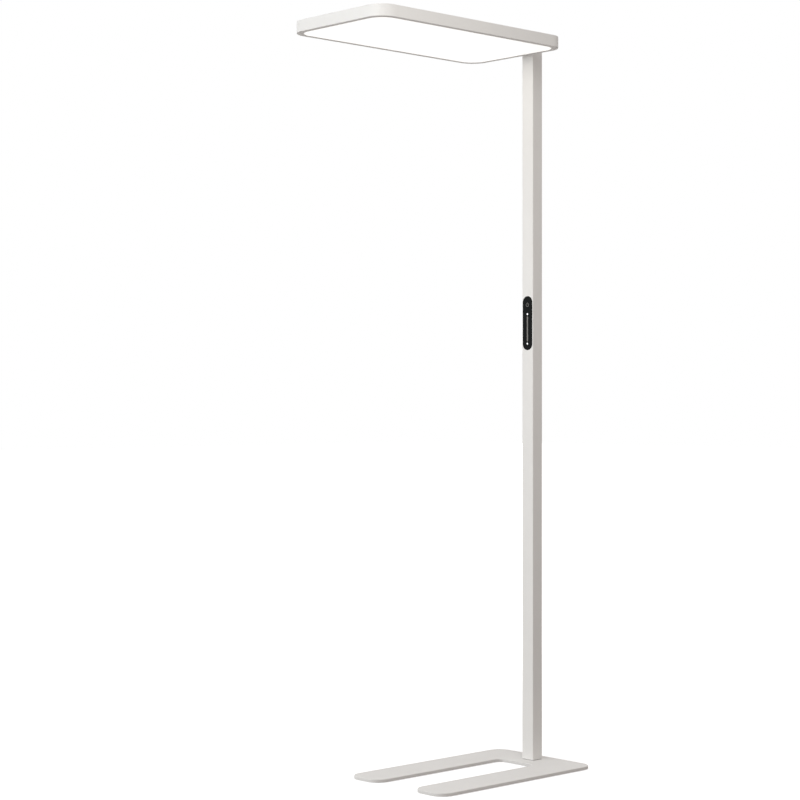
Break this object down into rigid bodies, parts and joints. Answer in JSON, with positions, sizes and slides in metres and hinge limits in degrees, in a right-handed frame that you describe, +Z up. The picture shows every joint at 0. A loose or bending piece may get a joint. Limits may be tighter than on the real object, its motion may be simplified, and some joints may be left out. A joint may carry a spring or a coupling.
{
  "type": "office floor lamp",
  "caption": "Free-standing office floor lamp: two-footed flat base, slim rectangular column with a touch panel, and a flat rounded head held forward over the feet.",
  "frame": {"origin": "on the floor, at the middle of the lamp's overall width and length", "axes": "+Z up, -Y towards the free end of the head and the tips of the feet, +X towards the right foot"},
  "size_m": [0.352, 0.7746, 1.95],
  "materials": {
    "base_coat": "satin",
    "column_coat": "satin",
    "head_coat": "satin",
    "pad_rubber": "matte",
    "gasket_rubber": "matte",
    "screw_steel": "satin",
    "screw_coat": "satin",
    "panel_gloss": "gloss",
    "panel_mark_white": "satin",
    "panel_mark_grey": "satin",
    "clear_acrylic": "polished",
    "opal_acrylic": "satin",
    "circuit_board": "satin",
    "control_circuit": "satin",
    "black_plastic": "satin",
    "plated_pin": "polished",
    "cable_sheath": "matte",
    "white_film": "matte",
    "bare_aluminium": "satin",
    "driver_case": "satin",
    "terminal_plastic": "satin",
    "wire_red": "satin",
    "wire_blue": "satin"
  },
  "bodies": {
    "root": {"base_plate": "base_coat", "base_pads": "pad_rubber", "base_screws": "screw_steel", "foot_gasket": "gasket_rubber", "column_tube": "column_coat", "mains_inlet": "black_plastic", "inlet_pins": "plated_pin", "control_lens": "panel_gloss", "control_light_guide": "clear_acrylic", "control_board": "control_circuit", "control_housing": "black_plastic", "control_lead": "cable_sheath", "mains_lead": "cable_sheath", "column_cap": "column_coat", "cap_screws": "screw_coat", "head_bracket": "head_coat", "bracket_screws": "screw_coat", "tongue_screws": "screw_steel", "head_frame": "head_coat", "diffuser": "opal_acrylic", "light_guide_plate": "clear_acrylic", "reflector_sheet": "white_film", "led_strip_left": "circuit_board", "led_strip_right": "circuit_board", "chassis_plate": "bare_aluminium", "uplight_board_left": "circuit_board", "uplight_board_right": "circuit_board", "uplight_window": "opal_acrylic", "top_cover": "head_coat", "clamp_blocks": "bare_aluminium", "cover_screws": "screw_coat", "led_driver": "driver_case", "driver_screws": "screw_steel", "terminal_block": "terminal_plastic", "driver_leads": "wire_blue", "led_leads": "wire_red"}
  },
  "joints": []
}
